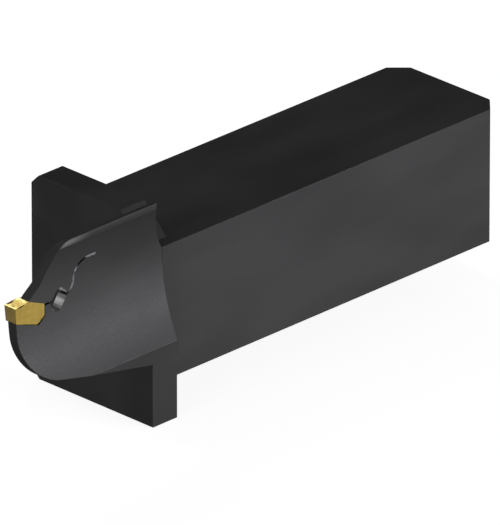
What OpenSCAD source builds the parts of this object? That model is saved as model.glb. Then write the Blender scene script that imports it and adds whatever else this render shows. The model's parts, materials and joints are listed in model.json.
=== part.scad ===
// Face grooving tool holder with a curved blade, a spring jaw and one grooving insert.
// Millimetres. X runs along the shank towards the cutting edge, Y across it, Z up.
// The origin is the middle of the shank's underside.

/* [Shank] */
// Height of the square shank
shank_height = 32; // [25:1:40]
// Width of the square shank
shank_width = 32; // [25:1:40]
// Length of the shank behind the flange
shank_length = 101; // [80:0.5:140]
// Chamfer on the two upright edges at the shank's rear end
rear_chamfer = 3.85; // [1:0.05:6]

/* [Flange] */
// Thickness of the shoulder flange
flange_thickness = 7.5; // [6:0.1:9]
// Flange below the shank's underside
flange_drop = 10.2; // [6:0.2:14]
// Flange above the shank's top
flange_rise = 6.6; // [4:0.2:9]
// Flange beyond the shank's far side
flange_side = 5.3; // [2:0.1:8]
// Chamfer on the flange's two far corners
flange_chamfer = 2.2; // [0.5:0.1:4]
// Where the sloped relief beside the jaw meets the flange's top, from the near side
relief_start = 9.9; // [9:0.1:14]
// Where the sloped relief comes down to the shank's top, from the near side
relief_end = 3.3; // [3:0.1:5]

/* [Blade] */
// Inner radius of the curved blade
blade_radius = 45.8; // [40:0.2:60]
// Wall thickness of the curved blade
blade_wall = 2.5; // [2:0.1:2.7]
// Cutting edge ahead of the flange's back face
overhang = 49.2; // [47:0.2:52]
// Blade root behind the flange's front face
root_inset = 2.9; // [1.5:0.1:4]
// Lowest level of the blade above the shank's underside
blade_low = 8.1; // [6:0.1:10]
// Top of the jaw above the cutting edge
jaw_rise = 11.8; // [11:0.1:12.4]
// Radius of the blade's lower front corner
toe_radius = 12; // [9:0.2:13]
// How far the blade's lower land stands out from the shank's side
land_stand = 4.8; // [3.5:0.1:6]
// Height of the narrow upright land along the jaw's top
top_land = 1.4; // [0.6:0.1:2]
// Chamfer on the jaw's far top edge
back_chamfer = 1.2; // [0.4:0.1:1.6]
// Fillet between the blade's outer face and the flange
root_fillet = 2; // [1:0.1:3]
// Radius of the sweep from the shank's top up the jaw's rear edge
rear_sweep = 20; // [16:0.5:26]

/* [Jaw] */
// Slope of the jaw's front in degrees
brow_angle = 58; // [52:0.5:62]
// Radius of the bend between the jaw's top and front
brow_radius = 6; // [4:0.2:7]
// Length of the jaw's nose from its tip to the foot of the slope
nose_length = 3.2; // [2.6:0.1:3.6]
// Slope of the nose in degrees
nose_angle = 39; // [32:0.5:44]
// Width of the key slot
key_width = 3.7; // [3:0.1:4]
// Length of the key slot
key_length = 5.6; // [4.8:0.1:6]
// Lean of the key slot in degrees
key_lean = 38; // [30:1:45]
// Width of the spring slit
slit_width = 0.5; // [0.4:0.05:0.8]
// Straight stretch at the slit's blind end
slit_tail = 2; // [1:0.1:4]

/* [Insert] */
// Width of the cutting edge
insert_width = 3.5; // [3:0.1:4]
// Length of the insert from the cutting edge to its rear stop
insert_length = 9; // [8.6:0.1:9.4]
// Height of the insert at the cutting edge
insert_height = 3.8; // [3.4:0.1:4.4]
// How far the insert stands proud of the blade's concave face
insert_proud = 0.25; // [0.1:0.05:0.4]
// Tilt of the seat floor in degrees
seat_tilt = 18; // [14:0.5:20]
// Fall of the clamped top towards the rear in degrees
clamp_fall = 23; // [18:0.5:25]
// Depth of the moulded chip groove
chip_depth = 0.4; // [0.2:0.05:0.5]

/* [Hidden] */
$fn = 96;

// How far a cutting tool runs past the face it starts from
over = 1;
flange_back = shank_length / 2;
flange_front = flange_back + flange_thickness;
near_side = shank_width / 2;
far_side = -near_side;
flange_far = far_side - flange_side;
flange_top = shank_height + flange_rise;

// The blade's inner face touches the shank's side plane at the cutting height
cut_height = shank_height;
axis_y = near_side + blade_radius;
outer_radius = blade_radius + blade_wall;
blade_rear = flange_front - root_inset;
tip = flange_back + overhang;
nose_setback = 0.2;
blade_nose = tip - nose_setback;
blade_top = cut_height + jaw_rise;
// How far a corner arc stands past the two straight edges it joins, so that it crosses them
arc_bite = 0.02;
land_y = near_side + land_stand;
// Where the concave face meets the foot of the upright top land
concave_rise = jaw_rise - top_land;
top_land_y = axis_y - sqrt(pow(blade_radius, 2) - pow(concave_rise, 2));
blade_back_y = near_side - blade_wall * 2;
// The outer face at the jaw's top, where the far edge is chamfered
outer_top_y = axis_y - sqrt(pow(outer_radius, 2) - pow(jaw_rise, 2));

// The toe arc and the straight lower edge that runs tangent into it
lower_straight = 8.3;
toe_lift = 16.9;
toe_x = blade_nose - toe_radius;
toe_z = blade_low + toe_lift;
lower_start = blade_rear + lower_straight;
toe_reach = sqrt(pow(toe_x - lower_start, 2) + pow(toe_lift, 2));
lower_angle = atan2(toe_lift, toe_x - lower_start) - asin(toe_radius / toe_reach);
toe_foot_x = toe_x + toe_radius * sin(lower_angle);
toe_corner_z = blade_low + (blade_nose - lower_start) * tan(lower_angle);

// The rear edge of the jaw leaves the flange on one wide arc
sweep_gap = 0.2;
sweep_right = flange_front - sweep_gap;
sweep_z = cut_height + sqrt(pow(rear_sweep, 2) - pow(rear_sweep - (sweep_right - blade_rear), 2));

// Jaw front: nose, slope and the rounded bend above it
nose_rise = 0.4;
open_top = 4.2;
nose_x = tip - open_top;
nose_z = cut_height + nose_rise;
slope_x = nose_x - nose_length;
slope_z = nose_z + nose_length * tan(nose_angle);
brow_x = slope_x - (blade_top - slope_z) / tan(brow_angle);
bend_x = brow_x - brow_radius * tan(brow_angle / 2);
bend_z = blade_top - brow_radius;
bend_foot_z = bend_z + brow_radius * cos(brow_angle);

// Insert, side view
rear_step = 2.1;
rear_lift = 1.5;
crest_length = 0.5;
insert_rear = tip - insert_length;
insert_foot = insert_rear + rear_step;
insert_bottom = cut_height - insert_height;
insert_relief = 0.3;
insert_front_foot = tip - insert_relief;
foot_z = insert_bottom - (insert_front_foot - insert_foot) * tan(seat_tilt);
rear_foot_z = foot_z + rear_lift;
clamp_rear_z = nose_z - (nose_x - insert_rear) * tan(clamp_fall);
crest_x = nose_x + crest_length;
// Insert, plan and front views
insert_near = near_side + insert_proud;
insert_far = insert_near - insert_width;
insert_mid_y = (insert_near + insert_far) / 2;
side_relief = 0.2;
// Chip groove behind the cutting edge
edge_land = 0.35;
chip_radius = 1.9;
chip_half = sqrt(pow(chip_radius, 2) - pow(chip_radius - chip_depth, 2));
chip_x = tip - edge_land - chip_half;
chip_z = cut_height + chip_radius - chip_depth;

// Key slot and spring slit
key_setback = 13.15;
key_depth = 2.05;
key_x = tip - key_setback;
key_z = cut_height - key_depth;
key_end = (key_length - key_width) / 2;
inner_bend = 2.8;
outer_bend = 4.2;
bend_setback = 1.7;
bend_lift = 3.35;
inner_bend_x = key_x - bend_setback;
slit_bend_z = key_z + bend_lift;
outer_bend_x = inner_bend_x - inner_bend - outer_bend;
slit_top_z = slit_bend_z + outer_bend;

module along_x(from, to) {
  translate([from, 0, 0]) rotate([90, 0, 90]) linear_extrude(to - from) children();
}

module along_y(from, to) {
  translate([0, to, 0]) rotate([90, 0, 0]) linear_extrude(to - from) children();
}

module shank() {
  linear_extrude(shank_height) polygon([
    [-flange_back + rear_chamfer, far_side],
    [flange_back + over, far_side],
    [flange_back + over, near_side],
    [-flange_back + rear_chamfer, near_side],
    [-flange_back, near_side - rear_chamfer],
    [-flange_back, far_side + rear_chamfer]
  ]);
}

module flange() {
  along_x(flange_back, flange_front) polygon([
    [flange_far, -flange_drop + flange_chamfer],
    [flange_far + flange_chamfer, -flange_drop],
    [near_side, -flange_drop],
    [near_side, shank_height],
    [near_side - relief_end, shank_height],
    [near_side - relief_start, flange_top],
    [flange_far + flange_chamfer, flange_top],
    [flange_far, flange_top - flange_chamfer]
  ]);
}

// Side view of the blade, before the seat, slot and slit are cut
module blade_outline() {
  difference() {
    polygon([
      [blade_rear, blade_low],
      [lower_start, blade_low],
      [blade_nose, toe_corner_z],
      [blade_nose, cut_height],
      [nose_x, nose_z],
      [slope_x, slope_z],
      [brow_x, blade_top],
      [blade_rear, blade_top]
    ]);
    // Rounded toe
    difference() {
      translate([toe_foot_x, toe_z]) mirror([0, 1]) square([toe_radius, toe_radius + over]);
      translate([toe_x + arc_bite, toe_z - arc_bite]) circle(toe_radius);
    }
    // Rounded bend at the top of the jaw
    difference() {
      translate([bend_x, bend_foot_z]) square([brow_radius, brow_radius]);
      translate([bend_x + arc_bite, bend_z + arc_bite]) circle(brow_radius);
    }
    // Swept rear edge
    translate([sweep_right - rear_sweep, sweep_z]) circle(rear_sweep);
    translate([blade_rear - over, sweep_z]) square([sweep_right - blade_rear + over, blade_top - sweep_z + over]);
  }
}

// Side view times the depth the blade may take up
module blade_envelope() {
  intersection() {
    along_y(blade_back_y, land_y) blade_outline();
    along_x(blade_rear - over, tip + over) polygon([
      [blade_back_y, blade_low - over],
      [land_y, blade_low - over],
      [land_y, cut_height],
      [top_land_y, cut_height],
      [top_land_y, blade_top + over],
      [outer_top_y + back_chamfer + over, blade_top + over],
      [outer_top_y - over, blade_top - back_chamfer - over],
      [blade_back_y, blade_top - back_chamfer - over]
    ]);
  }
}

// Curved wall with the solid root beside the flange and a fillet in front of it
module blade_stock() {
  translate([0, axis_y, cut_height]) rotate([0, 90, 0]) rotate_extrude() difference() {
    union() {
      translate([blade_radius, flange_back]) square([blade_wall, overhang + over]);
      translate([blade_radius, flange_back]) square([blade_wall + root_fillet, flange_thickness + root_fillet]);
    }
    translate([outer_radius + root_fillet, flange_front + root_fillet]) circle(root_fillet);
  }
}

module insert_side() {
  polygon([
    [tip, cut_height],
    [insert_front_foot, insert_bottom],
    [insert_foot, foot_z],
    [insert_rear, rear_foot_z],
    [insert_rear, clamp_rear_z],
    [nose_x, nose_z],
    [crest_x, nose_z],
    [crest_x + nose_rise, cut_height]
  ]);
}

// The insert's own outline plus the open space ahead of the jaw's nose
module seat_side() {
  insert_side();
  polygon([
    [nose_x, nose_z],
    [insert_front_foot, insert_bottom],
    [tip + over, insert_bottom],
    [tip + over, blade_top],
    [nose_x, blade_top]
  ]);
}

module key_slot() {
  translate([key_x, key_z]) rotate(key_lean) union() {
    translate([0, key_end]) circle(key_width / 2);
    translate([0, -key_end]) circle(key_width / 2);
    square([key_width, key_end * 2], center = true);
  }
}

// One quarter of a ring as wide as the slit, in the quadrant the signs name
module quarter_slit(radius, side, level) {
  reach = radius + slit_width;
  intersection() {
    difference() {
      circle(radius + slit_width / 2);
      circle(radius - slit_width / 2);
    }
    translate([side * reach / 2, level * reach / 2]) square(reach, center = true);
  }
}

// Slit that parts the jaw from the blade, from the seat past the key slot to its blind end
module spring_slit() {
  translate([inner_bend_x, slit_bend_z]) quarter_slit(inner_bend, -1, -1);
  translate([outer_bend_x, slit_bend_z]) quarter_slit(outer_bend, 1, 1);
  translate([outer_bend_x - slit_tail, slit_top_z - slit_width / 2]) square([slit_tail, slit_width]);
  translate([outer_bend_x - slit_tail, slit_top_z]) circle(slit_width / 2);
  translate([key_x, clamp_rear_z - slit_width]) square([insert_rear + slit_width - key_x, slit_width]);
}

module holder() {
  color([0.27, 0.27, 0.28]) difference() {
    union() {
      shank();
      flange();
      intersection() {
        blade_envelope();
        blade_stock();
      }
    }
    along_y(blade_back_y - over, land_y + over) {
      seat_side();
      key_slot();
      spring_slit();
    }
  }
}

module grooving_insert() {
  color([0.85, 0.68, 0.25]) intersection() {
    difference() {
      along_y(insert_far, insert_near) insert_side();
      translate([chip_x, insert_mid_y, chip_z]) rotate([90, 0, 0])
        cylinder(r = chip_radius, h = insert_width + over * 2, center = true);
    }
    linear_extrude(blade_top) polygon([
      [tip, insert_far],
      [tip, insert_near],
      [insert_rear, insert_near - side_relief],
      [insert_rear, insert_far + side_relief]
    ]);
    along_x(insert_rear - over, tip + over) polygon([
      [insert_far, cut_height + over],
      [insert_far, cut_height],
      [insert_far + side_relief, foot_z],
      [insert_near - side_relief, foot_z],
      [insert_near, cut_height],
      [insert_near, cut_height + over]
    ]);
  }
}

holder();
grooving_insert();
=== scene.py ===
"""Looks of a face grooving tool holder and its grooving insert, built round the CAD frame.

The frame is in metres. X runs along the shank to the cutting edge, Y across it towards the
blade's hollow side, and Z up. Sizes in the classes are in millimetres, but for the studio's.
"""

import json
import logging
from dataclasses import dataclass, field, replace
from enum import Enum

import bmesh
import bpy
import numpy as np
from mathutils import Matrix, Vector


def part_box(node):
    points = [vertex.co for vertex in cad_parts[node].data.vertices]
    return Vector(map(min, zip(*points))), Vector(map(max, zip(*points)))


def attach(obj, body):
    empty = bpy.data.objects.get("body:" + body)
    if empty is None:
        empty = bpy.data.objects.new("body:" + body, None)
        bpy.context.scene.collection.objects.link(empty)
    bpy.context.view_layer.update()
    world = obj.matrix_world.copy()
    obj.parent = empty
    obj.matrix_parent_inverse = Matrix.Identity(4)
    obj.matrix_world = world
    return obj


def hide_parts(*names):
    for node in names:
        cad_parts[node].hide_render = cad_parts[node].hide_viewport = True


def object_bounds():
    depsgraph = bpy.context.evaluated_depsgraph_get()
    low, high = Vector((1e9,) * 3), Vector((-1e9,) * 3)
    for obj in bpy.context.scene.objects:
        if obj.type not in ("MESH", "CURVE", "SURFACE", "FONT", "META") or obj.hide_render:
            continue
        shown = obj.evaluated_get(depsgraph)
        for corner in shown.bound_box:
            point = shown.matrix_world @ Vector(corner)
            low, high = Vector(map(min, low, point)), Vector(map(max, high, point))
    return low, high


MM = 0.001
WHITE = "#ffffff"
# Corners this near to each other, in millimetres, are one corner
SAME_CORNER = 0.001
# Faces that turn by less than this, in degrees, are one flat face
FLAT_TURN = 0.2
# Faces across a rounded edge
BREAK_STEPS = 2

logging.basicConfig(level=logging.INFO, format="%(message)s")
log = logging.getLogger("tool_holder")

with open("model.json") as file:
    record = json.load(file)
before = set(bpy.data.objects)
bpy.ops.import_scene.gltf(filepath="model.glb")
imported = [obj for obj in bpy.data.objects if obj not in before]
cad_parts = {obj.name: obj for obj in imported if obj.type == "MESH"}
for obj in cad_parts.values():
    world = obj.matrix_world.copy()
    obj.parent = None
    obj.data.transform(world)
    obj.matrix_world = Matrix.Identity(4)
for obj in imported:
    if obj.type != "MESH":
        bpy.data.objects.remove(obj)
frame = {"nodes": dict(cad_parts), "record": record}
CAD_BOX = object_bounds()


class Role(Enum):
    """Which kinds of ray see the plain white surround."""

    CAMERA = "Is Camera Ray"
    GLOSSY = "Is Glossy Ray"
    TRANSMISSION = "Is Transmission Ray"


class Lay(Enum):
    """Which way the marks of a finish run, as the number of the axis."""

    ALONG_TOOL = 0
    THROUGH_BLADE = 1


class HolderSkin(Enum):
    """The holder's finishes, by the number of their material."""

    BLACKENED = 0
    RUBBED = 1
    SLOT_PAINTED_STREAKS = 2
    LAND_PAINTED_HIGHLIGHT = 3


class InsertSkin(Enum):
    """The insert's finishes, by the number of their material."""

    SINTERED = 0
    PAINTED_HIGHLIGHT_TOP = 1


def linear(hex_colour: str) -> tuple[float, float, float, float]:
    """Turns an sRGB hex colour to linear light.

    Args:
        hex_colour: Six hex digits with a leading hash.

    Returns:
        Red, green, blue and an alpha of one, in linear light.
    """
    srgb = np.array([int(hex_colour[i : i + 2], 16) for i in (1, 3, 5)]) / 255
    lin = np.where(srgb <= 0.04045, srgb / 12.92, ((srgb + 0.055) / 1.055) ** 2.4)
    return (*(float(c) for c in lin), 1.0)


def add_node(
    tree: bpy.types.NodeTree, kind: str, settings: dict | None = None, **sockets: object
) -> bpy.types.Node:
    """Adds a node, sets it and links it.

    Args:
        tree: The node tree that takes the node.
        kind: Blender's name for the node's type.
        settings: Properties of the node by name.
        sockets: Inputs by name, with blanks written as underscores. A socket is linked, and
            anything else is its value. A name such as in0 means an input by its number.

    Returns:
        The new node.
    """
    node = tree.nodes.new(kind)
    for name, value in (settings or {}).items():
        setattr(node, name, value)
    for name, value in sockets.items():
        numbered = name.startswith("in") and name[2:].isdigit()
        key = int(name[2:]) if numbered else name.replace("_", " ")
        if isinstance(value, bpy.types.NodeSocket):
            tree.links.new(value, node.inputs[key])
        else:
            node.inputs[key].default_value = value
    return node


def new_tree(name: str) -> tuple[bpy.types.Material, bpy.types.NodeTree]:
    """Makes an empty node material.

    Args:
        name: The material's name.

    Returns:
        The material and its node tree.
    """
    material = bpy.data.materials.new(name)
    material.use_nodes = True
    material.node_tree.nodes.clear()
    return material, material.node_tree


def show(name: str, data: bpy.types.ID) -> bpy.types.Object:
    """Puts a mesh, a lamp or a camera in the scene.

    Args:
        name: The new object's name.
        data: What the object shows.

    Returns:
        The new object, at the origin.
    """
    thing = bpy.data.objects.new(name, data)
    bpy.context.scene.collection.objects.link(thing)
    return thing


def shank_top() -> float:
    """Height of the shank's top in millimetres, which is the cutting edge's height too."""
    mounts = {mount["name"]: mount for mount in frame["record"]["mounts"]}
    return mounts["shank_top"]["pos_m"][2] / MM


def cutting_tip() -> float:
    """Place of the cutting edge along the tool, in millimetres."""
    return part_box("grooving_insert")[1].x / MM


@dataclass(frozen=True)
class MetalFinish:
    """A metal surface whose tone, gloss and grain change a little from place to place.

    Attributes:
        name: The real material and how it was made.
        dark: Deepest tone as sRGB hex.
        light: Lightest tone as sRGB hex.
        metallic: Share of the surface that reflects as bare metal.
        smoothest: Roughness where the surface is smoothest.
        dullest: Roughness where it is dullest.
        specular: Strength of the clear reflection over the tone.
        rim: How bright the reflection is at a flat angle, as sRGB hex.
        cloud: Size of the tone's clouds in millimetres.
        grain: Spacing of the grain in millimetres. Real grinding marks and carbide grains are
            finer than the render can show, so it is drawn this coarse.
        stretch: How many times longer than wide the marks are.
        relief: Depth of the grain in millimetres.
        lay: Which way the marks run.
        painted_highlight_span: Where along the tool, from and to in millimetres, the dark tone
            gives way to the
        light one, which paints a highlight there. Without it the two tones lie in clouds.
        cloud_span: Noise values that give the darkest and the lightest cloud.
        cloud_detail: Layers of finer noise in the clouds.
        cloud_mix: How much each finer layer adds.
        grain_span: Noise values that give the smoothest and the dullest grain.
        grain_detail: Layers of finer noise in the grain.
        grain_mix: How much each finer layer adds.
        bump: Strength of the grain's relief.
    """

    name: str
    dark: str
    light: str
    metallic: float
    smoothest: float
    dullest: float
    specular: float
    rim: str
    cloud: float
    grain: float
    stretch: float
    relief: float
    lay: Lay = Lay.ALONG_TOOL
    painted_highlight_span: tuple[float, float] | None = None
    cloud_span: tuple[float, float] = (0.35, 0.65)
    cloud_detail: float = 2.0
    cloud_mix: float = 0.5
    grain_span: tuple[float, float] = (0.3, 0.7)
    grain_detail: float = 3.0
    grain_mix: float = 0.6
    bump: float = 0.35

    def build(self) -> bpy.types.Material:
        """Builds the node material, with every pattern on Object coordinates.

        Returns:
            The new material.
        """
        material, tree = new_tree(self.name)
        place = add_node(tree, "ShaderNodeTexCoord").outputs["Object"]
        squeeze = Vector((1.0, 1.0, 1.0))
        squeeze[self.lay.value] = 1 / self.stretch
        along = add_node(tree, "ShaderNodeMapping", Vector=place, Scale=squeeze).outputs["Vector"]
        tone = add_node(
            tree,
            "ShaderNodeMix",
            {"data_type": "RGBA"},
            in0=self._light_share(tree, place, along),
            in6=linear(self.dark),
            in7=linear(self.light),
        ).outputs[2]
        grain = add_node(
            tree,
            "ShaderNodeTexNoise",
            Vector=along,
            Scale=1 / (self.grain * MM),
            Detail=self.grain_detail,
            Roughness=self.grain_mix,
        ).outputs["Fac"]
        gloss = add_node(
            tree,
            "ShaderNodeMapRange",
            Value=grain,
            From_Min=self.grain_span[0],
            From_Max=self.grain_span[1],
            To_Min=self.smoothest,
            To_Max=self.dullest,
        ).outputs["Result"]
        bump = add_node(
            tree, "ShaderNodeBump", Height=grain, Strength=self.bump, Distance=self.relief * MM
        ).outputs["Normal"]
        shader = add_node(
            tree,
            "ShaderNodeBsdfPrincipled",
            Base_Color=tone,
            Metallic=self.metallic,
            Roughness=gloss,
            Specular_IOR_Level=self.specular,
            Specular_Tint=linear(self.rim),
            Normal=bump,
        )
        add_node(tree, "ShaderNodeOutputMaterial", Surface=shader.outputs["BSDF"])
        return material

    def _light_share(
        self,
        tree: bpy.types.NodeTree,
        place: bpy.types.NodeSocket,
        along: bpy.types.NodeSocket,
    ) -> bpy.types.NodeSocket:
        """Gives the light tone's share: in clouds, or rising along the tool into a painted
        highlight.

        Args:
            tree: The material's node tree.
            place: Object coordinates.
            along: The same, squeezed along the lay.

        Returns:
            The share, from 0 to 1.
        """
        if self.painted_highlight_span:
            start, end = self.painted_highlight_span
            return add_node(
                tree,
                "ShaderNodeMapRange",
                {"interpolation_type": "SMOOTHSTEP"},
                Value=add_node(tree, "ShaderNodeSeparateXYZ", Vector=place).outputs["X"],
                From_Min=start * MM,
                From_Max=end * MM,
            ).outputs["Result"]
        clouds = add_node(
            tree,
            "ShaderNodeTexNoise",
            Vector=along,
            Scale=1 / (self.cloud * MM),
            Detail=self.cloud_detail,
            Roughness=self.cloud_mix,
        ).outputs["Fac"]
        return add_node(
            tree,
            "ShaderNodeMapRange",
            Value=clouds,
            From_Min=self.cloud_span[0],
            From_Max=self.cloud_span[1],
        ).outputs["Result"]


# Hot-blackened tool steel, ground first: a deep neutral grey with a soft satin sheen
BLACKENED_STEEL = MetalFinish(
    name="blackened_tool_steel_ground",
    dark="#2d2d2e",
    light="#333334",
    metallic=0.85,
    smoothest=0.5,
    dullest=0.57,
    specular=0.0,
    rim="#a4a4a4",
    cloud=14.0,
    grain=0.22,
    stretch=3.0,
    relief=0.002,
)
# The same blackening thinned by handling along the broken edges, a shade lighter
RUBBED_EDGE = replace(
    BLACKENED_STEEL,
    name="blackened_steel_rubbed_edge",
    dark="#2f2f30",
    light="#363637",
    smoothest=0.56,
    dullest=0.66,
    cloud=3.0,
    grain=0.3,
    stretch=2.0,
    relief=0.004,
)
# Bare steel of the slot and slit, lighter than the blackening, with near-white and near-black
# streaks straight through the blade that are painted highlights and painted shade
SLOT_STEEL_PAINTED_STREAKS = MetalFinish(
    name="tool_steel_wire_cut",
    dark="#161617",
    light="#f0f0f2",
    metallic=0.85,
    smoothest=0.24,
    dullest=0.36,
    specular=0.5,
    rim=WHITE,
    cloud=2.4,
    grain=0.2,
    stretch=20.0,
    relief=0.003,
    lay=Lay.THROUGH_BLADE,
)
# The narrow land along the jaw's top, ground last: grey, and lighter towards the brow, which is a
# painted highlight
LAND_WITH_PAINTED_HIGHLIGHT = replace(
    BLACKENED_STEEL,
    name="tool_steel_ground_land",
    dark="#303031",
    light="#525253",
    dullest=0.58,
    cloud=9.0,
)
# Sintered carbide under a golden nitride coating: warm yellow with a soft sheen
NITRIDE_CARBIDE = MetalFinish(
    name="nitride_coated_carbide_sintered",
    dark="#8f782f",
    light="#9f8639",
    metallic=0.2,
    smoothest=0.3,
    dullest=0.4,
    specular=0.2,
    rim=WHITE,
    cloud=1.6,
    grain=0.15,
    stretch=1.0,
    relief=0.004,
)
# The same coating over the moulded chip former, smoother, and much lighter in colour, which is a
# painted highlight for the pale room that it mirrors
CHIP_FORMER_PAINTED_HIGHLIGHT = replace(
    NITRIDE_CARBIDE,
    name="nitride_coated_carbide_moulded",
    dark="#dcc06a",
    light="#f0d884",
    metallic=0.9,
    smoothest=0.2,
    dullest=0.3,
    specular=0.5,
    relief=0.002,
)


def merged_copy(node: str, name: str) -> bpy.types.Object:
    """Copies a CAD node with its doubled corners merged and its flat faces made whole.

    Args:
        node: The CAD node's name.
        name: The new piece's name.

    Returns:
        The new piece, at the origin and in the scene.
    """
    mesh = bpy.data.meshes.new(name)
    work = bmesh.new()
    work.from_mesh(frame["nodes"][node].data)
    bmesh.ops.remove_doubles(work, verts=work.verts, dist=SAME_CORNER * MM)
    bmesh.ops.dissolve_limit(
        work, angle_limit=np.radians(FLAT_TURN), verts=work.verts, edges=work.edges
    )
    work.to_mesh(mesh)
    work.free()
    if "custom_normal" in mesh.attributes:
        mesh.attributes.remove(mesh.attributes["custom_normal"])
    mesh.materials.clear()
    return show(name, mesh)


def soften(piece: bpy.types.Object, sharp: float) -> None:
    """Shades a mesh smooth, but for its sharp edges.

    Args:
        piece: The piece to shade.
        sharp: Edges that turn by more than this many degrees stay sharp.
    """
    mesh = piece.data
    mesh.polygons.foreach_set("use_smooth", np.ones(len(mesh.polygons), bool))
    mesh.set_sharp_from_angle(angle=np.radians(sharp))


def edges_of(piece: bpy.types.Object) -> tuple[np.ndarray, np.ndarray]:
    """Measures the edges of a piece.

    Args:
        piece: The piece to measure.

    Returns:
        How far the surface turns at each edge in degrees, and the edges' middles in metres,
        one per row.
    """
    work = bmesh.new()
    work.from_mesh(piece.data)
    turn = np.degrees([edge.calc_face_angle(0.0) for edge in work.edges])
    middle = np.array([(edge.verts[0].co + edge.verts[1].co) / 2 for edge in work.edges])
    work.free()
    return turn, middle


def break_edges(piece: bpy.types.Object, width: float, weight: np.ndarray, skin: Enum) -> None:
    """Gives edges a small rounded break.

    Args:
        piece: The piece whose edges are broken.
        width: Full width of the break in millimetres.
        weight: Share of that width for each edge, from 0 to 1.
        skin: The finish that the break takes.
    """
    layer = piece.data.attributes.new("bevel_weight_edge", "FLOAT", "EDGE")
    layer.data.foreach_set("value", weight.astype(np.float32))
    bevel = piece.modifiers.new("edge_break", "BEVEL")
    bevel.limit_method = "WEIGHT"
    bevel.width = width * MM
    bevel.segments = BREAK_STEPS
    bevel.use_clamp_overlap = False
    bevel.harden_normals = True
    bevel.material = skin.value


@dataclass
class Holder:
    """The one-piece holder: shank, flange, curved blade and spring jaw.

    Attributes:
        edge_break: Width of the break along the outer edges, in millimetres.
        sharp: Edges that turn more than this many degrees are broken.
        cut_zone: Back, front, foot and top, in X from the cutting edge's tip and in Z from the
            shank's top, of the part of the blade where slot, slit and seat keep sharp edges.
        toe_depth: How far back from the tip the blade's toe reaches below the seat.
        seat_depth: Depth of the seat's front end below the shank's top, with some room.
        slot_front: Where the slot and slit end towards the seat, measured back from the tip.
        slit_top: Height above the shank's top under which the slit lies.
        land_foot: Height above the shank's top over which the narrow top land lies.
        painted_highlight_lead: How far before the brow the land's painted highlight starts.
        painted_highlight_past: How far past the brow the painted highlight is brightest.
        level_band: Points this near the highest one count as the level top.
        wall_lean: A wall of the cuts faces along Y by less than this share.
        land_facing: The land faces along Y by more than this share.
        piece: The dressed holder, once it is built.
    """

    edge_break: float = 0.18
    sharp: float = 25.0
    cut_zone: tuple[float, float, float, float] = (-25.5, 2.0, -8.0, 10.5)
    toe_depth: float = 2.5
    seat_depth: float = 4.3
    slot_front: float = 10.5
    slit_top: float = 6.5
    land_foot: float = 10.5
    painted_highlight_lead: float = 7.0
    painted_highlight_past: float = 2.0
    level_band: float = 0.02
    wall_lean: float = 0.05
    land_facing: float = 0.99
    piece: bpy.types.Object = field(init=False)

    def build(self) -> bpy.types.Object:
        """Makes the dressed holder that stands for the CAD node.

        Returns:
            The new piece.
        """
        self.piece = merged_copy("holder", "holder_body")
        soften(self.piece, self.sharp)
        brow = self._brow()
        # The land's tone rises from dark to light towards the brow: a painted highlight
        land = replace(LAND_WITH_PAINTED_HIGHLIGHT, painted_highlight_span=(brow - self.painted_highlight_lead, brow + self.painted_highlight_past))
        for finish in (BLACKENED_STEEL, RUBBED_EDGE, SLOT_STEEL_PAINTED_STREAKS, land):
            self.piece.data.materials.append(finish.build())
        self._finish_faces()
        break_edges(self.piece, self.edge_break, self._edge_weights(), HolderSkin.RUBBED)
        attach(self.piece, "root")
        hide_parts("holder")
        return self.piece

    def _brow(self) -> float:
        """Finds where the jaw's level top ends and its front bends down, in X, in millimetres."""
        points = np.array([v.co for v in self.piece.data.vertices]) / MM
        return float(points[points[:, 2] > points[:, 2].max() - self.level_band, 0].max())

    def _from_edge(self, points: np.ndarray) -> tuple[np.ndarray, np.ndarray]:
        """Measures points from the cutting edge.

        Args:
            points: One point per row, in metres.

        Returns:
            Distance ahead of the tip and above the shank's top, in millimetres.
        """
        return points[:, 0] / MM - cutting_tip(), points[:, 2] / MM - shank_top()

    def _in_cut_zone(self, points: np.ndarray) -> np.ndarray:
        """Finds the points in the zone of the fine cuts, which leaves out the blade's toe.

        Args:
            points: One point per row, in metres.

        Returns:
            True for each point that lies in the zone.
        """
        x, z = self._from_edge(points)
        back, front, foot, top = self.cut_zone
        toe = (x > -self.toe_depth) & (z < -self.seat_depth)
        return (x > back) & (x < front) & (z > foot) & (z < top) & ~toe

    def _edge_weights(self) -> np.ndarray:
        """Gives every sharp edge outside the fine cuts its full break."""
        turn, middle = edges_of(self.piece)
        return (turn > self.sharp) & ~self._in_cut_zone(middle)

    def _finish_faces(self) -> None:
        """Gives the faces in the slot and slit bare steel with painted highlight streaks, and the
        jaw's top land its own finish, with a painted highlight at the brow.
        """
        faces = self.piece.data.polygons
        centre, normal = np.empty(len(faces) * 3), np.empty(len(faces) * 3)
        faces.foreach_get("center", centre)
        faces.foreach_get("normal", normal)
        centre, facing = centre.reshape(-1, 3), normal.reshape(-1, 3)[:, 1]
        x, z = self._from_edge(centre)
        behind_seat = x < -self.slot_front
        in_cuts = self._in_cut_zone(centre) & behind_seat & (z < self.slit_top)
        # The cut walls take the near-white and near-black streaks of painted highlight and shade
        painted_streak_walls = in_cuts & (np.abs(facing) < self.wall_lean)
        land = behind_seat & (z > self.land_foot) & (facing > self.land_facing)
        number = np.full(len(faces), HolderSkin.BLACKENED.value, np.int32)
        # The land takes the finish with the painted highlight at the brow
        number[land] = HolderSkin.LAND_PAINTED_HIGHLIGHT.value
        number[painted_streak_walls] = HolderSkin.SLOT_PAINTED_STREAKS.value
        faces.foreach_set("material_index", number)


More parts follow.
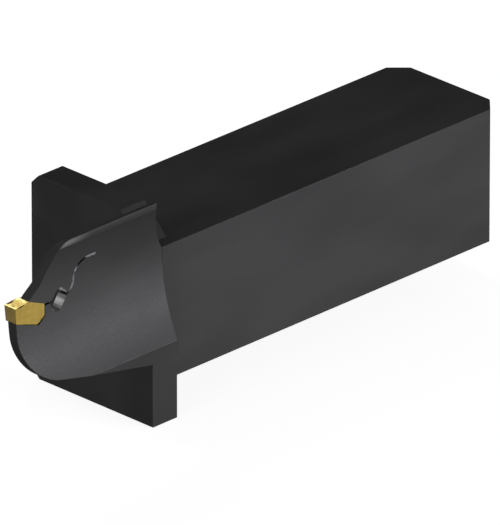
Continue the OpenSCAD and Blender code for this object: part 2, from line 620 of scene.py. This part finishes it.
@dataclass
class GroovingInsert:
    """The grooving insert with its moulded chip former.

    The body is one profile, seen from the side, carried across the insert's width. The profile
    starts at the cutting edge, runs back over the chip former and the clamped top, down the
    rear stop and forward along the seat. Only the chip former changes across the width.

    Attributes:
        length: From the cutting edge to the rear stop, in millimetres.
        height: At the cutting edge.
        tilt: Of the seat floor, in degrees.
        relief: How much narrower each side is at the rear and at the foot.
        front_relief: How far the front face leans back at its foot.
        open_top: Length of the top ahead of the jaw's nose.
        crest: Height of the chip wall's crest above the cutting edge.
        crest_flat: Length of the crest's flat top.
        clamp_fall: Fall of the clamped top, in degrees.
        rear_step: Length of the slope at the foot of the rear stop.
        rear_lift: Height of that slope.
        land: Width of the flat land behind the cutting edge.
        groove: Depth of the chip groove.
        groove_place: Where it is deepest, as a share of the way from the land to the crest.
        lobe: Height of the two rounded ridges that run back from the land.
        lobe_places: Where they lie across the width, from 0 to 1.
        lobe_spread: Half width of a ridge, as a share of the insert's.
        dip: Depth of the hollow between them.
        dip_spread: Half width of the hollow, as a share of the insert's.
        dip_place: Its middle, as a share of the way from the land to the crest.
        dip_reach: Half its length, as a share of the same way.
        edge_break: Width of the rounding on the rim.
        sharp: Edges that turn more than this many degrees are rounded.
        keen_depth: How far below the cutting edge the rim is kept keen.
        keen_share: Share of the rounding that the keen rim gets.
        samples: Points along the open top.
        stations: Profiles across the width.
        piece: The finished insert, once it is built.
    """

    length: float = 9.0
    height: float = 3.8
    tilt: float = 18.0
    relief: float = 0.2
    front_relief: float = 0.3
    open_top: float = 4.2
    crest: float = 0.4
    crest_flat: float = 0.5
    clamp_fall: float = 23.0
    rear_step: float = 2.1
    rear_lift: float = 1.5
    land: float = 0.3
    groove: float = 0.17
    groove_place: float = 0.36
    lobe: float = 0.26
    lobe_places: tuple[float, float] = (0.24, 0.76)
    lobe_spread: float = 0.14
    dip: float = 0.4
    dip_spread: float = 0.12
    dip_place: float = 0.42
    dip_reach: float = 0.28
    edge_break: float = 0.16
    sharp: float = 32.0
    keen_depth: float = 0.6
    keen_share: float = 0.12
    samples: int = 48
    stations: int = 37
    piece: bpy.types.Object = field(init=False)

    def build(self) -> bpy.types.Object:
        """Makes the insert that stands for the CAD node.

        Returns:
            The new piece.
        """
        mesh = bpy.data.meshes.new("coated_insert")
        points = self._points()
        faces, painted_highlight_faces = self._faces(len(points) // self.stations)
        mesh.from_pydata(points.tolist(), [], faces)
        mesh.validate()
        self.piece = show("coated_insert", mesh)
        work = bmesh.new()
        work.from_mesh(mesh)
        bmesh.ops.recalc_face_normals(work, faces=work.faces)
        work.to_mesh(mesh)
        work.free()
        soften(self.piece, self.sharp)
        for finish in (NITRIDE_CARBIDE, CHIP_FORMER_PAINTED_HIGHLIGHT):
            mesh.materials.append(finish.build())
        # The open top takes the lighter colour, a painted highlight
        number = np.where(painted_highlight_faces, InsertSkin.PAINTED_HIGHLIGHT_TOP.value, InsertSkin.SINTERED.value)
        mesh.polygons.foreach_set("material_index", number.astype(np.int32))
        break_edges(self.piece, self.edge_break, self._rim_weights(), InsertSkin.SINTERED)
        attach(self.piece, "root")
        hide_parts("grooving_insert")
        return self.piece

    def _top(self, back: np.ndarray, across: np.ndarray) -> np.ndarray:
        """Height of the open top above the cutting edge, in millimetres.

        The land is flat. Behind it the floor sinks on half a cosine wave and rises on another to
        the crest. Two rounded ridges run back at about a quarter and three quarters of the
        width, bell curves across and half a sine wave along, and a bell-shaped hollow lies
        between them. Nothing stands above the crest.

        Args:
            back: Distance behind the cutting edge in millimetres.
            across: Place across the width, from 0 on the far side to 1 on the near side.

        Returns:
            The height for each pair of values.
        """
        reach = self.open_top - self.crest_flat
        s = np.clip((back - self.land) / (reach - self.land), 0, 1)
        down = np.clip(s / self.groove_place, 0, 1)
        up = np.clip((s - self.groove_place) / (1 - self.groove_place), 0, 1)
        sink = -self.groove * 0.5 * (1 - np.cos(np.pi * down))
        rise = (self.groove + self.crest) * 0.5 * (1 - np.cos(np.pi * up))
        ridges = sum(
            np.exp(-(((across - place) / self.lobe_spread) ** 2)) for place in self.lobe_places
        )
        hollow = np.exp(
            -(((across - 0.5) / self.dip_spread) ** 2)
            - ((s - self.dip_place) / self.dip_reach) ** 2
        )
        waves = np.sin(np.pi * s) * (self.lobe * ridges - self.dip * hollow)
        return np.minimum(sink + rise + waves, self.crest)

    def _corners(self) -> np.ndarray:
        """Works out the corners of the profile behind and below the open top.

        The clamped top falls from the crest to the rear stop, and the seat's floor falls from
        the front face's foot to a short slope that meets the rear stop.

        Returns:
            X and Z in millimetres, one corner per row: the rear stop's top and foot, the
            slope's foot and the front face's foot.
        """
        rear = cutting_tip() - self.length
        foot_x = rear + self.rear_step
        front_x, front_z = cutting_tip() - self.front_relief, shank_top() - self.height
        foot_z = front_z - (front_x - foot_x) * np.tan(np.radians(self.tilt))
        fall = (self.length - self.open_top) * np.tan(np.radians(self.clamp_fall))
        return np.array(
            [
                [rear, shank_top() + self.crest - fall],
                [rear, foot_z + self.rear_lift],
                [foot_x, foot_z],
                [front_x, front_z],
            ]
        )

    def _points(self) -> np.ndarray:
        """Works out the surface's points.

        Each station across the width holds the whole side profile, and its half width shrinks
        in proportion to the distance behind the edge or below it, whichever gives more.

        Returns:
            The points in metres, one per row, station by station.
        """
        low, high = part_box("grooving_insert")
        far, near = low.y / MM, high.y / MM
        tip, edge_z = cutting_tip(), shank_top()
        across = np.linspace(0, 1, self.stations)[:, None]
        back = np.linspace(0, self.open_top, self.samples)[None, :]
        corners = self._corners()
        ones = np.ones((self.stations, 1))
        x = np.hstack([tip - back + 0 * across, ones * corners[:, 0]])
        z = np.hstack([edge_z + self._top(back, across), ones * corners[:, 1]])
        depth = edge_z - corners[:, 1].min()
        behind, below = (tip - x) / self.length, np.clip((edge_z - z) / depth, 0, 1)
        narrowing = self.relief * np.maximum(behind, below)
        y = (far + near) / 2 + (2 * across - 1) * ((near - far) / 2 - narrowing)
        return np.stack([x, y, z], -1).reshape(-1, 3) * MM

    def _faces(self, ring: int) -> tuple[list[tuple[int, ...]], np.ndarray]:
        """Joins each profile to the next with four-sided faces, and closes both sides.

        Args:
            ring: How many points one profile has.

        Returns:
            The faces as tuples of point numbers, and which of them lie on the open top.
        """
        i, j = np.meshgrid(np.arange(self.stations - 1), np.arange(ring), indexing="ij")
        here, there, after = i * ring, (i + 1) * ring, (j + 1) % ring
        quads = np.stack([here + j, here + after, there + after, there + j], -1)
        far_side = np.arange(ring)
        near_side = (self.stations - 1) * ring + far_side[::-1]
        faces = [tuple(quad) for quad in quads.reshape(-1, 4).tolist()]
        faces += [tuple(side.tolist()) for side in (far_side, near_side)]
        return faces, np.append(j.ravel() < self.samples - 1, [False, False])

    def _rim_weights(self) -> np.ndarray:
        """Gives sharp edges their rounding, with the least at the cutting edge and chip former.

        Returns:
            The share of the full width for each edge.
        """
        turn, middle = edges_of(self.piece)
        ahead = middle[:, 0] / MM > cutting_tip() - self.open_top
        high = middle[:, 2] / MM > shank_top() - self.keen_depth
        return np.where(turn > self.sharp, np.where(ahead & high, self.keen_share, 1.0), 0.0)


@dataclass(frozen=True)
class Lamp:
    """A softbox: a rectangle of light aimed at the tool.

    Attributes:
        name: What the lamp does.
        place: Where it stands, in metres.
        width: Width in metres.
        tall: Height in metres.
        power: Light output in watts.
    """

    name: str
    place: tuple[float, float, float]
    width: float
    tall: float
    power: float

    def build(self, target: Vector) -> None:
        """Adds the lamp and aims it.

        Args:
            target: What the lamp points at, in metres.
        """
        data = bpy.data.lights.new(self.name, "AREA")
        data.shape = "RECTANGLE"
        data.size, data.size_y = self.width, self.tall
        data.energy = self.power
        lamp = show(self.name, data)
        lamp.location = self.place
        lamp.rotation_euler = (target - lamp.location).to_track_quat("-Z", "Y").to_euler()


def sees_white(tree: bpy.types.NodeTree) -> bpy.types.NodeSocket:
    """Tells the rays that see the white surround from those that only carry light.

    Args:
        tree: The node tree that takes the nodes.

    Returns:
        One for a ray that sees it, and nought for any other.
    """
    path = add_node(tree, "ShaderNodeLightPath")
    total = path.outputs[Role.CAMERA.value]
    for role in (Role.GLOSSY, Role.TRANSMISSION):
        sees = path.outputs[role.value]
        total = add_node(
            tree, "ShaderNodeMath", {"operation": "MAXIMUM"}, in0=total, in1=sees
        ).outputs[0]
    return total


@dataclass
class Studio:
    """The pale floor, the white surround, the softboxes and the camera.

    Attributes:
        floor_size: Side of the square floor in metres.
        floor_tone: The paper's own tone as sRGB hex.
        floor_glow: White that is seen over the floor's own shading, which keeps the shadow.
        ambient: Strength of the surround's soft light.
        lamps: The softboxes.
        eye: The camera's place in metres.
        towards_camera: Unit direction from the tool to the camera.
        lens: Focal length in millimetres.
        film: Width of the camera's frame in millimetres.
        sight: Nearest and farthest distance that the camera sees, in metres.
    """

    floor_size: float = 40.0
    floor_tone: str = "#f4f4f4"
    floor_glow: float = 0.88
    ambient: float = 0.06
    lamps: tuple[Lamp, ...] = (
        Lamp("side_softbox", (-0.75, 1.6, 0.06), 1.2, 0.13, 36.0),
        Lamp("front_softbox", (1.6, 0.2, 0.35), 0.8, 0.6, 2.6),
        Lamp("back_kicker", (-0.08, -1.07, 1.34), 0.34, 0.34, 1.4),
        Lamp("top_kicker", (-1.0, -1.07, 0.744), 0.3, 0.3, 0.6),
    )
    eye: tuple[float, float, float] = (2.494051, 2.464525, 1.627563)
    towards_camera: tuple[float, float, float] = (0.6439916, 0.6394614, 0.4199571)
    lens: float = 1270.687
    film: float = 36.0
    sight: tuple[float, float] = (0.1, 100.0)

    def build(self) -> None:
        """Builds the whole studio."""
        self._floor()
        self._surround()
        low, high = CAD_BOX
        for lamp in self.lamps:
            lamp.build((low + high) / 2)
        self._camera()
        bpy.context.scene.view_settings.view_transform = "Standard"

    def _floor(self) -> None:
        """Lays the pale paper floor at the foot of the flange."""
        half, level = self.floor_size / 2, CAD_BOX[0].z
        corners = [(x * half, y * half, level) for x, y in ((-1, -1), (1, -1), (1, 1), (-1, 1))]
        mesh = bpy.data.meshes.new("floor")
        mesh.from_pydata(corners, [], [(0, 1, 2, 3)])
        material, tree = new_tree("pale_paper_floor")
        paper = add_node(tree, "ShaderNodeBsdfDiffuse", Color=linear(self.floor_tone))
        glow = add_node(
            tree,
            "ShaderNodeMath",
            {"operation": "MULTIPLY"},
            in0=sees_white(tree),
            in1=self.floor_glow,
        ).outputs[0]
        white = add_node(tree, "ShaderNodeEmission", Color=linear(WHITE), Strength=glow)
        both = add_node(tree, "ShaderNodeAddShader", in0=paper.outputs[0], in1=white.outputs[0])
        add_node(tree, "ShaderNodeOutputMaterial", Surface=both.outputs[0])
        mesh.materials.append(material)
        show("floor", mesh)

    def _surround(self) -> None:
        """Sets the world: soft light, and plain white wherever it is seen or mirrored."""
        world = bpy.data.worlds.new("white_surround")
        bpy.context.scene.world = world
        world.use_nodes = True
        tree = world.node_tree
        tree.nodes.clear()
        soft, white = (
            add_node(tree, "ShaderNodeBackground", Color=linear(WHITE), Strength=strength)
            for strength in (self.ambient, 1.0)
        )
        mixed = add_node(
            tree,
            "ShaderNodeMixShader",
            in0=sees_white(tree),
            in1=soft.outputs[0],
            in2=white.outputs[0],
        )
        add_node(tree, "ShaderNodeOutputWorld", Surface=mixed.outputs[0])

    def _camera(self) -> None:
        """Sets up the long lens of the photograph, level and without shift."""
        data = bpy.data.cameras.new("camera")
        data.lens, data.sensor_width, data.sensor_fit = self.lens, self.film, "HORIZONTAL"
        data.clip_start, data.clip_end = self.sight
        camera = show("camera", data)
        back = Vector(self.towards_camera).normalized()
        right = Vector((0, 0, 1)).cross(back).normalized()
        turn = Matrix((right, back.cross(right), back)).transposed()
        camera.matrix_world = Matrix.Translation(Vector(self.eye)) @ turn.to_4x4()
        bpy.context.scene.camera = camera


def main() -> None:
    """Builds the tool and the studio."""
    for part in (Holder(), GroovingInsert()):
        piece = part.build()
        log.info("%s: %d faces", piece.name, len(piece.data.polygons))
    Studio().build()


if __name__ == "__main__":
    main()
